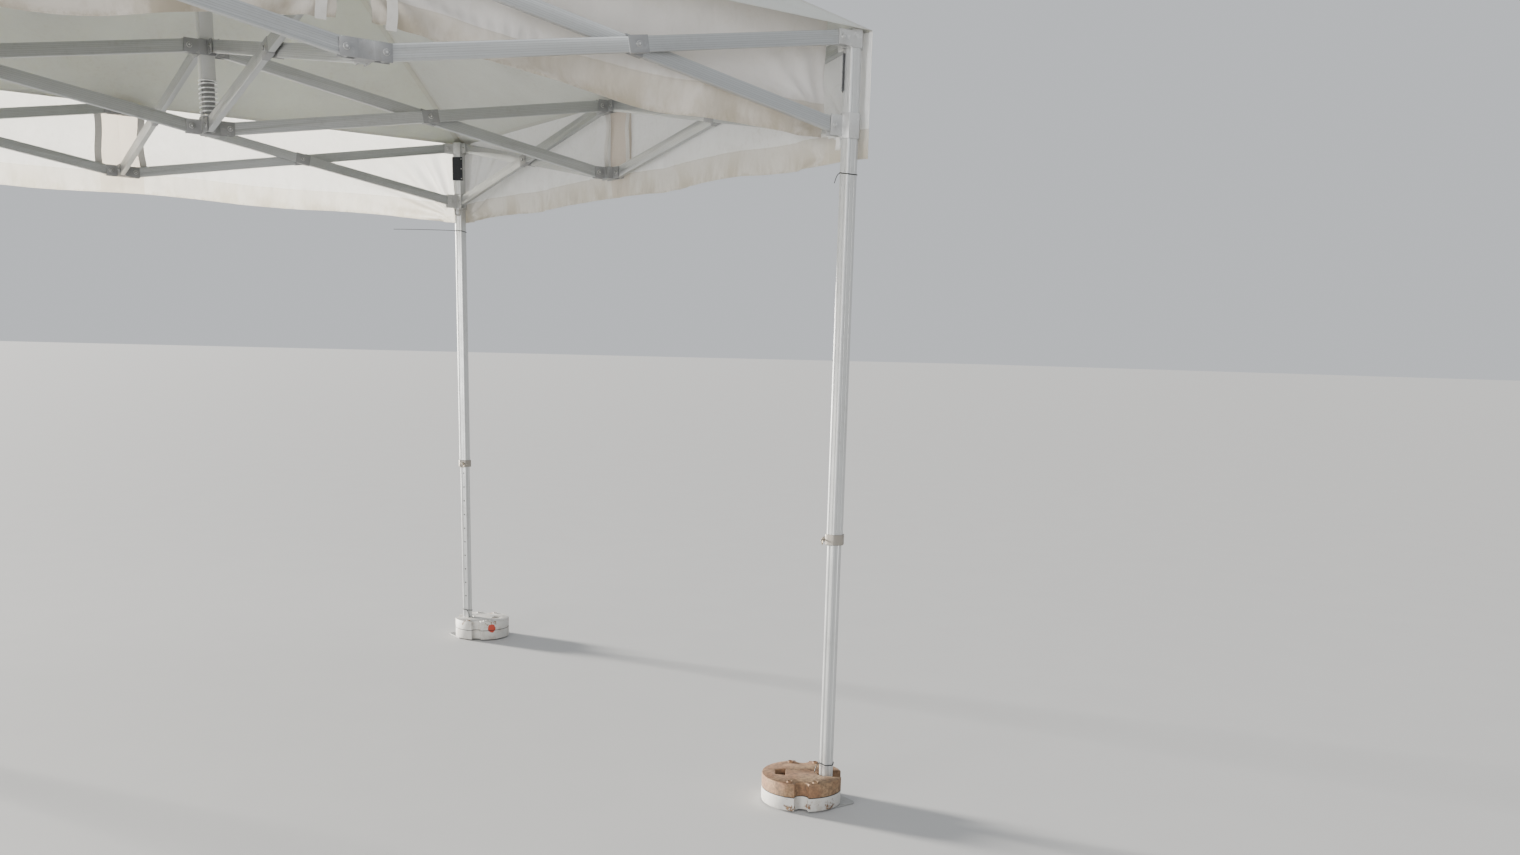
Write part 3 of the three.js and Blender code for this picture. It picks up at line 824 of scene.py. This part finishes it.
def hexagonal_profile(flats, channels, depth, wide, corner):
    """A hexagon with a flat facing +X: along each flat, shallow channels at the given distances from its
    middle, and an eased corner at its end."""
    half = flats / 2 / math.sqrt(3)
    line = []
    for at in channels:
        line += [(at + share * wide, -low)
                 for share, low in ((-0.5, 0), (-0.39, depth), (0.39, depth), (0.5, 0))]
    line = [(-half + corner, 0)] + line + [(half - corner, 0), (half - 0.27 * corner, -0.13 * corner)]
    line = np.array(line)
    loop = []
    for face in range(6):
        angle = face * math.pi / 3
        out = flats / 2 + line[:, 1]
        loop.append(np.stack([out * math.cos(angle) - line[:, 0] * math.sin(angle),
                              out * math.sin(angle) + line[:, 0] * math.cos(angle)], -1))
    return np.concatenate(loop)


def tube(name, outer, inner, foot, top, look, index, body):
    """A closed tube: the outer profile carried up from foot to top, over the edge and down the inner profile.
    Its UV map is in metres round and up."""
    n = len(outer)
    points = np.stack([np.column_stack([profile, np.full(n, z)])
                       for profile, z in ((outer, foot), (outer, top), (inner, top), (inner, foot))])
    around = np.concatenate([[0], np.cumsum(np.linalg.norm(np.diff(outer, axis=0), axis=1))])
    uv = np.stack([np.broadcast_to(around, points.shape[:2]), points[..., 2]], -1)
    faces = grid_faces(len(points), n, wrap_rows=True, wrap_columns=True)
    return piece(name, to_leg(points, index), faces, look, body, uv, 30)


def inner_leg_material():
    """The inner leg's aluminium, with a row of pin holes up the face to the hub and the one opposite, painted
    near black and not metallic: painted shade in holes that the tube does not have.
    """
    made, shader, place = extruded_material("inner_leg_metal", LEG_GREY, (1, 1, 0.01))
    around, height, _ = axes(place["UV"])
    half_flat = INNER_FLATS / 2 / math.sqrt(3)
    aside = minus(around, half_flat - 0.0025)
    again = minus(aside, 6 * half_flat)
    step = math_node("PINGPONG", plus(height, -3 * PIN_PITCH), PIN_PITCH / 2)
    holes = []
    for offset in (aside, again):
        square = plus(times(offset, offset), times(step, step))
        holes.append(math_node("LESS_THAN", square, PIN_RADIUS ** 2))
    hole = math_node("ADD", *holes, clamp=True)
    # The holes are only painted: near black, as painted shade inside them.
    in_reach = times(math_node("GREATER_THAN", height, 0.16), hole)
    base = shader.inputs["Base Color"].links[0].from_socket
    painted(shader, mixed(in_reach, base, (0.008, 0.008, 0.008)))
    feed(shader.inputs["Metallic"], times(minus(1.0, in_reach), 0.62))
    return made


INNER_METAL = inner_leg_material()
COLLAR_METAL = cast_material("collar_metal", (0.30, 0.275, 0.24), 0.42)
RING_METAL = plain_steel("ring_metal", (0.52, 0.44, 0.32), 0.34)
FOOT_STEEL = cast_material("foot_steel", (0.34, 0.34, 0.33), 0.5)
OUTER = hexagonal_profile(OUTER_FLATS, (-0.0065, 0.0065), 0.0012, 0.0042, 0.004)
OUTER_HOLLOW = hexagonal_profile(OUTER_BORE, (-0.0065, 0.0065), 0.0, 0.0042, 0.004)
INNER = hexagonal_profile(INNER_FLATS, (0.0,), 0.0010, 0.0100, 0.004)
INNER_HOLLOW = hexagonal_profile(INNER_BORE, (0.0,), 0.0, 0.0100, 0.004)
COLLAR = hexagonal_profile(COLLAR_FLATS, (0.0,), 0.0, 0.010, 0.006)
COLLAR_HOLLOW = hexagonal_profile(COLLAR_BORE, (0.0,), 0.0, 0.010, 0.004)

# The collar's trim about a leg's axis: a lug for the sprung pin, its pull ring, and a lever that curves away
# beside them.
LUG_BOX = ([0.0288, 0.0385], [-0.005, 0.005], [0.880, 0.896])
LUG_FACES = [[0, 1, 3, 2], [4, 6, 7, 5], [0, 4, 5, 1], [2, 3, 7, 6], [0, 2, 6, 4], [1, 5, 7, 3]]
lug = np.stack(np.meshgrid(*LUG_BOX, indexing="ij"), -1).reshape(-1, 3)
RING_OUT, RING_RADIUS, RING_HEIGHT = 0.0396, 0.0115, 0.8815
turn = full_turn(40)
ring = np.stack([np.full(40, RING_OUT), RING_RADIUS * np.sin(turn),
                 RING_HEIGHT + RING_RADIUS * np.cos(turn)], -1)
reach = np.linspace(0, 1, 12)
lever = np.stack([0.0300 + 0.011 * np.sin(reach * 2.2), 0.006 + 0.026 * reach, 0.890 - 0.004 * reach], -1)

# The foot plate is a square with its corners cut to a round and its upper edge eased: three loops of points
# round it, joined, and closed by its two faces.
FOOT_SIDES = 32
FOOT_STEPS = np.array([[0.0750, 0.0], [0.0750, 0.0040], [0.0738, 0.0050]])
turn = (np.arange(FOOT_SIDES) * 2 + 1) * math.pi / FOOT_SIDES
square = np.minimum(1 / np.maximum(abs(np.cos(turn)), abs(np.sin(turn))), 1.34)
plate = np.stack([FOOT_STEPS[:, :1] * square * np.cos(turn), FOOT_STEPS[:, :1] * square * np.sin(turn),
                  np.broadcast_to(FOOT_STEPS[:, 1:], (3, FOOT_SIDES))], -1)
plate_faces = stack_faces(len(FOOT_STEPS), FOOT_SIDES)

for index, leg in enumerate(LEGS):
    body = f"leg_outer_{leg}"
    outer_tube = tube(f"leg_outer_{leg}_tube", OUTER, OUTER_HOLLOW, OUTER_FOOT, OUTER_TOP, LEG_METAL, index,
                      body)
    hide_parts(f"leg_outer_{leg}")
    collar = tube(f"collar_{leg}", COLLAR, COLLAR_HOLLOW, OUTER_FOOT, COLLAR_TOP, COLLAR_METAL, index,
                  body)
    eased(collar, 0.0018)
    eased(piece(f"collar_lug_{leg}", to_leg(lug, index), LUG_FACES, COLLAR_METAL, body), 0.0015)
    swept(f"pull_ring_{leg}", to_leg(ring, index), 0.0013, RING_METAL, body, closed=True)
    swept(f"collar_lever_{leg}", to_leg(lever, index), 0.0024, COLLAR_METAL, body)

    body = f"leg_inner_{leg}"
    inner_tube = tube(f"leg_inner_{leg}_tube", INNER, INNER_HOLLOW, INNER_FOOT, INNER_TOP, INNER_METAL, index,
                      body)
    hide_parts(f"leg_inner_{leg}")
    standing = stood(plate, 0, LEG_PLACES[leg])
    piece(f"foot_plate_{leg}", standing, plate_faces, FOOT_STEEL, body, smooth=30)

# Leg brackets and sliders
# A cast cap sits on each leg's top, and a cast slider runs below it. Between them a black hook-and-loop
# plate is riveted to the face towards the hub, and webbing hangs beside it and below the slider.
LEG_CAST = cast_material("leg_cast", (0.50, 0.505, 0.50), 0.42)


def hook_plate_material():
    """Black woven hook tape on a plastic plate: near black, fuzzy and matt."""
    made, shader, place = material("hook_plate", Roughness=0.78, Sheen_Weight=0.5)
    lint = ramp(noise(place["Object"], 240, 5, 0.7), 0.63, 0.7)
    painted(shader, mixed(lint, (0.010, 0.012, 0.018), (0.10, 0.10, 0.10)))
    bumped(shader, noise(place["Object"], 900, 3, 0.7), 0.6, 0.001)
    return made


def webbing_material():
    """Woven polyester strap: white ribs across it, greyed by handling. Its UV map is in metres."""
    made, shader, place = material("webbing", Roughness=0.8, Sheen_Weight=0.2)
    length = axes(place["UV"])["Y"]
    ribs = math_node("SINE", times(length, 2 * math.pi / 0.0022))
    dirt = grime(place["Object"], 0.6)
    painted(shader, mixed(dirt, (0.74, 0.72, 0.68), (0.42, 0.37, 0.3)))
    bumped(shader, ribs, 0.5, 0.0005)
    return made


HOOK_PLATE = hook_plate_material()
WEBBING = webbing_material()


def flat_strap(name, path, wide, thick, sideways, body):
    """A flat band carried along a path: its width lies along sideways and its thickness across both."""
    path = np.asarray(path, float)
    sideways = np.asarray(sideways, float)
    face = unit(np.cross(unit(np.gradient(path, axis=0)), sideways))
    section = np.array([[-0.5, -0.5], [-0.17, -0.5], [0.17, -0.5], [0.5, -0.5],
                        [0.5, 0.5], [0.17, 0.5], [-0.17, 0.5], [-0.5, 0.5]])
    points = (path[:, None] + section[None, :, :1] * wide * sideways
              + section[None, :, 1:] * thick * face[:, None])
    length = np.concatenate([[0], np.cumsum(np.linalg.norm(np.diff(path, axis=0), axis=1))])
    uv = np.stack([np.broadcast_to(section[:, 0] * wide, points.shape[:2]),
                   np.broadcast_to(length[:, None], points.shape[:2])], -1)
    faces = stack_faces(len(path), len(section))
    return piece(name, points, faces, WEBBING, body, uv, 40)


# The plate about a leg's axis: a front that domes a little between its upright edges, a flat back, and a rim
# of faces from corner to corner round the grid.
HOOK_TOP, HOOK_TALL, HOOK_WIDE = 2.362, 0.108, 0.052
HOOK_BACK, HOOK_THICK, HOOK_DOME = 0.0252, 0.0012, 0.0022
rows, columns = 12, 9
down, over = np.meshgrid(np.linspace(0, 1, rows), np.linspace(-1, 1, columns), indexing="ij")
dome = HOOK_DOME * (1 - np.abs(over) ** 6)
front = np.stack([HOOK_BACK + HOOK_THICK + dome, over * HOOK_WIDE / 2, HOOK_TOP - down * HOOK_TALL], -1)
back = front.copy()
back[..., 0] = HOOK_BACK
shell = np.concatenate([front.reshape(-1, 3), back.reshape(-1, 3)])
behind = rows * columns
cells = grid_faces(rows, columns, flip=True)
numbers = np.arange(behind).reshape(rows, columns)
rim = [*numbers[:, 0], *numbers[-1, 1:], *numbers[-2::-1, -1], *numbers[0, -2:0:-1]]
shell_faces = [list(c) for c in cells] + [[v + behind for v in c[::-1]] for c in cells]
shell_faces += [[a, a + behind, b + behind, b] for a, b in zip(rim, rim[1:] + rim[:1])]
RIVET_HEIGHTS = (2.353, 2.308, 2.263)
RIVET_SIZE = 0.3

# The webbing beside the plate hangs from the bracket, bowed a little away from the leg. The slider's loop
# hangs under its knob.
fall = np.linspace(0, 1, 14)
from_axis = 0.0265 + 0.003 * np.sin(fall * math.pi)
strap = np.stack([0.5 * from_axis, -0.866 * from_axis, 2.3775 - 0.1705 * fall], -1)
bend = np.linspace(0, math.pi, 22)
loop = np.stack([0.0355 + 0.003 * np.sin(bend * 2), -0.012 * np.cos(bend),
                 2.1235 - 0.036 * np.sin(bend) ** 0.7], -1)

for index, leg in enumerate(LEGS):
    body = f"leg_outer_{leg}"
    rounded(f"leg_bracket_{leg}_cast", f"leg_bracket_{leg}", 0.0013, LEG_CAST, body)
    rounded(f"slider_{leg}_cast", f"slider_{leg}", 0.0013, LEG_CAST, f"slider_{leg}")
    way = index * math.pi / 2
    for name, height, layer, rides in ((f"leg_bracket_{leg}_bolts", UPPER, LAYER, body),
                                       (f"slider_{leg}_bolts", LOWER, -LAYER, f"slider_{leg}")):
        centre = (*LEG_PLACES[leg], height)
        places = clevis_bolts(centre, LEG_ARM, way + math.pi, layer)
        places += clevis_bolts(centre, LEG_ARM, way + math.pi / 2, -layer)
        bolts(name, places, rides)

    piece(f"hook_plate_{leg}", to_leg(shell, index), shell_faces, HOOK_PLATE, body,
          smooth=35)
    outwards = leg_way(1, 0, index)
    rivets = [(to_leg(np.array([0.0282, 0.0205, z]), index), outwards) for z in RIVET_HEIGHTS]
    bolts(f"hook_plate_rivets_{leg}", rivets, body, RIVET_SIZE)
    flat_strap(f"leg_strap_{leg}", to_leg(strap, index), 0.010, 0.0014, leg_way(0.866, 0.5, index), body)
    flat_strap(f"slider_strap_{leg}", to_leg(loop, index), 0.012, 0.0014, outwards, f"slider_{leg}")

# Straps and ties
# Two webbing straps hang from the roof beside each upper mid-side bracket, to tie the cloth to the truss. A
# black cable tie is drawn round every leg near the foot, and another below the slider, one of them uncut.
STRAP_ASIDE = 0.083
STRAP_WIDE, STRAP_THICK = 0.027, 0.0016
for quarter, side in enumerate(SIDES):
    # On the near side the straps hang outside the tucked valance, and elsewhere inside the valance.
    away, bottom, slack = (1.4675, 2.218, 0.0006) if side == "near" else (1.5315, 2.156, 0.0035)
    sideways = turned(np.array([1.0, 0, 0]), quarter)
    for number, x in (("1", -STRAP_ASIDE), ("2", STRAP_ASIDE)):
        fall = np.linspace(0, 1, 24)
        bow = slack * np.sin(fall * math.pi * 3 + x * 20) * np.sin(fall * math.pi)
        aside = x + 0.005 * np.sin(fall * 7 + x * 30)
        top = roof_point(aside[:1], np.array([away]), quarter)[0, 2] - 0.0018
        path = turned(np.stack([aside, bow - away, top + (bottom - top) * fall], -1), quarter)
        flat_strap(f"valance_strap_{side}_{number}", path, STRAP_WIDE, STRAP_THICK, sideways,
                   f"mid_bracket_upper_{side}")


def tie_material():
    """Black nylon: a soft sheen, slightly greyed in patches, with a fine grain."""
    made, shader, place = material("tie_black", Roughness=0.45)
    greyed = ramp(noise(place["Object"], 300, 4), 0.3, 0.8)
    painted(shader, mixed(greyed, (0.012, 0.012, 0.014), (0.05, 0.05, 0.05)))
    bumped(shader, noise(place["Object"], 800, 2), 0.3, 0.0004)
    return made


TIE_BLACK = tie_material()


def hexagon_path(flats, height, lean):
    """Points round a hexagon with a flat facing +X and its corners cut, tilted a little so that a tie sits
    askew."""
    angle = full_turn(60)
    sector = (angle + math.pi / 6) % (math.pi / 3) - math.pi / 6
    radius = np.minimum(flats / 2 / np.cos(sector), flats / 2 * 1.135)
    return np.stack([radius * np.cos(angle), radius * np.sin(angle), height + lean * np.cos(angle + 0.8)], -1)


LONG_TAIL, TAIL_WAY = 0.29, np.array([-0.917, 0.398, 0.0])
for index, leg in enumerate(LEGS):
    for place, flats, height, body in (("upper", 0.0525, 2.018, f"leg_outer_{leg}"),
                                       ("lower", 0.0461, 0.135, f"leg_inner_{leg}")):
        band = to_leg(hexagon_path(flats, height, 0.004), index)
        swept(f"cable_tie_{place}_{leg}", band, 0.0016, TIE_BLACK, body, 8, True)
        end = np.linspace(0, 1, 8)
        tail = np.stack([flats / 2 + 0.001 + 0.012 * end, 0.004 + 0.02 * end, height - 0.03 * end ** 2], -1)
        tail = to_leg(tail, index)
        uncut = (leg, place) == ("right_far", "upper")
        if uncut:
            start = np.array([*LEG_PLACES[leg], height + 0.0037]) + TAIL_WAY * flats / 2
            tail = start + end[:, None] * TAIL_WAY * LONG_TAIL - (end ** 2)[:, None] * [0, 0, 0.006]
        strip = swept(f"cable_tie_{place}_tail_{leg}", tail, 0.0013, TIE_BLACK, body, 6)
        if uncut:
            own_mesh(strip)

# Weights
# Two iron discs lie one on the other on each foot plate, cast with a slot for the leg, a hole for the
# hand, a notch in each flank and four small rimmed sockets. Their white paint has worn through to rust.
PAINT_WHITE, RED_DAUB = (0.60, 0.585, 0.55), (0.46, 0.06, 0.035)
RUST_BROWN, RUST_OCHRE = (0.27, 0.145, 0.075), (0.36, 0.235, 0.13)
DISC_SEAM, DISC_TOP = 0.0513, 0.0973


def weight_material(name, rust_top, rust_low, mark=None):
    """White paint over cast iron: rust spreads from noise and covers a set share of the top and of the lower
    disc, and a dark line where the two discs meet is painted shade in the gap between them. A mark is a daub
    of red paint about a point."""
    made, shader, place = material(name, Roughness=0.7, Metallic=0.0)
    where = place["Object"]
    on = axes(where)
    upper = math_node("GREATER_THAN", on["Z"], DISC_SEAM)
    patches = noise(where, 16, 8, 0.68)
    share = plus(times(upper, rust_top - rust_low), rust_low)
    limit = minus(0.80, times(share, 0.6))
    edge = minus(patches, limit)
    rusty = ramp(edge, -0.015, 0.02)
    rust = mixed(ramp(noise(where, 13, 6, 0.6), 0.4, 0.62), RUST_BROWN, RUST_OCHRE)
    pitted = ramp(noise(where, 70, 6, 0.7), 0.38, 0.72)
    iron = mixed(pitted, rust, (0.085, 0.052, 0.036))
    stained = ramp(noise(where, 28, 6, 0.7), 0.5, 0.75)
    paint = mixed(stained, PAINT_WHITE, (0.42, 0.37, 0.3))
    # A near-black line where the discs meet: painted shade in the gap between them.
    seam = close_to(on["Z"], DISC_SEAM, 0.0014)
    colour = mixed(rusty, paint, iron)
    if mark:
        square = [math_node("POWER", minus(on[axis], at), 2.0) for axis, at in zip("XYZ", mark)]
        away = plus(plus(square[0], square[1]), square[2])
        ragged = times(noise(where, 70, 5, 0.8), 0.0009)
        colour = mixed(math_node("LESS_THAN", away, ragged), colour, RED_DAUB)
    colour = mixed(seam, colour, (0.012, 0.01, 0.01))
    painted(shader, colour, plus(times(rusty, 0.25), 0.6))
    skin = plus(times(noise(where, 190, 4), 0.5), times(rusty, -0.35))
    height = minus(skin, times(seam, 2.0))
    bumped(shader, height, 0.8, 0.0012)
    return made


# A socket's profile is its radius and its height over the disc, from the bottom of the bowl over the rim and
# under the disc's face. A turn of the profile makes each of the four.
SOCKET_PROFILE = np.array([[0, 0.7], [4.8, 0.7], [6.2, 4.6], [8.6, 5.0], [10.2, 0.6], [10.6, -0.6],
                           [0, -0.6]]) / 1000
SOCKET_PLACES = ((-0.045, 0.108), (-0.045, -0.108), (0.040, 0.108), (0.040, -0.108))
sides, rows = 18, len(SOCKET_PROFILE)
turn = full_turn(sides)
radius = np.maximum(SOCKET_PROFILE[:, :1], 1e-4)
sockets, socket_faces = [], []
for number, (x, y) in enumerate(SOCKET_PLACES):
    bowl = np.stack([x + radius * np.cos(turn), y + radius * np.sin(turn),
                     np.broadcast_to(DISC_TOP + SOCKET_PROFILE[:, 1:], (rows, sides))], -1)
    sockets.append(bowl.reshape(-1, 3))
    socket_faces += stack_faces(rows, sides, number * rows * sides, flip=True)
sockets = np.concatenate(sockets)

# For each leg, the angle that its discs are turned by and their distance from the leg, then the shares of
# rust on the upper and the lower disc, and where a daub of red paint lies.
WEIGHTS = {
    "right_near": (142.5, 0.080, 0.93, 0.35, None),
    "right_far": (-37.5, 0.076, 0.34, 0.30, (1.552, 1.319, 0.062)),
    "left_far": (142.5, 0.076, 0.55, 0.45, None),
    "left_near": (-142.5, 0.076, 0.62, 0.42, None),
}
for leg, (angle, distance, rust_top, rust_low, mark) in WEIGHTS.items():
    look = weight_material(f"weight_paint_{leg}", rust_top, rust_low, mark)
    rounded(f"weights_{leg}_discs", f"weights_{leg}", 0.0035, look, f"leg_inner_{leg}")
    points = stood(sockets + [distance, 0, 0], angle, LEG_PLACES[leg])
    piece(f"weights_{leg}_pegs", points, socket_faces, look, f"leg_inner_{leg}", smooth=40)

# Studio
# A plain pale floor and soft lights: a low sun behind the far side that shines through the cloth, two
# broad fills from the left and the near side, and a pale sky. The camera looks in under the near eave.
FLOOR_REACH, FLOOR_HEIGHT = 300.0, -0.001
floor_look, shader, place = material("pale_floor", Roughness=0.85)
mottled = noise(place["Object"], 3, 4)
painted(shader, mixed(mottled, (0.46, 0.46, 0.46), (0.49, 0.49, 0.485)))
corners = np.array([(-1.0, -1.0, 1.0), (1.0, -1.0, 1.0), (1.0, 1.0, 1.0), (-1.0, 1.0, 1.0)])
corners *= [FLOOR_REACH, FLOOR_REACH, FLOOR_HEIGHT]
floor = piece("floor", corners, [(0, 1, 2, 3)], floor_look, None, smooth=None)

world = bpy.data.worlds.new("studio")
world.use_nodes = True
world.node_tree.nodes["Background"].inputs["Color"].default_value = (0.90, 0.93, 0.97, 1)
world.node_tree.nodes["Background"].inputs["Strength"].default_value = 0.72
bpy.context.scene.world = world


def light(name, kind, place, target, wide, power, colour):
    """A soft light at a place, facing a target: a square one of that width that shines in a wide cone, or a
    sun of that angle."""
    lamp = bpy.data.lights.new(name, kind)
    if kind == "SUN":
        lamp.angle = wide
    else:
        lamp.size = wide
        lamp.spread = math.radians(110)
    lamp.energy = power
    lamp.color = colour
    obj = placed(name, lamp)
    obj.visible_camera = False
    obj.location = place
    obj.rotation_mode = "QUATERNION"
    obj.rotation_quaternion = (Vector(target) - Vector(place)).to_track_quat("-Z", "Y")


light("low_sun", "SUN", (-4.5, 8.5, 1.5), (0, 0, 0), 0.14, 18, (1.0, 0.96, 0.89))
light("side_fill", "AREA", (-7.5, -3.5, 1.9), (0, -1, 2.1), 2.4, 180, (1.0, 0.98, 0.95))
light("camera_fill", "AREA", (-3.0, -8.0, 3.4), (0.5, 0, 1.4), 4.0, 55, (0.95, 0.97, 1.0))

# The camera's place, angles, focal length and shift come from a fit to the photograph. Its width, the focal
# length and the shift are in its pixels.
CAMERA_PLACE = Vector((-1.138, -4.774, 1.471))
YAW, PITCH, ROLL = math.radians(54.34), math.radians(-11.38), math.radians(1.52)
PHOTO_WIDE, FOCAL_LENGTH, AXIS_SHIFT = 1520, 1307.4, 189.4
ahead = Vector((math.cos(YAW) * math.cos(PITCH), math.sin(YAW) * math.cos(PITCH), math.sin(PITCH)))
level = Vector((math.sin(YAW), -math.cos(YAW), 0))
upright = level.cross(ahead)
right = math.cos(ROLL) * level + math.sin(ROLL) * upright
top = -math.sin(ROLL) * level + math.cos(ROLL) * upright
camera = bpy.data.cameras.new("camera")
camera.sensor_width = 36
camera.lens = camera.sensor_width * FOCAL_LENGTH / PHOTO_WIDE
camera.shift_y = AXIS_SHIFT / PHOTO_WIDE
camera.clip_end = 1000
eye = placed("camera", camera)
eye.matrix_world = Matrix.Translation(CAMERA_PLACE) @ Matrix((right, top, -ahead)).transposed().to_4x4()
bpy.context.scene.camera = eye

bpy.context.view_layer.update()
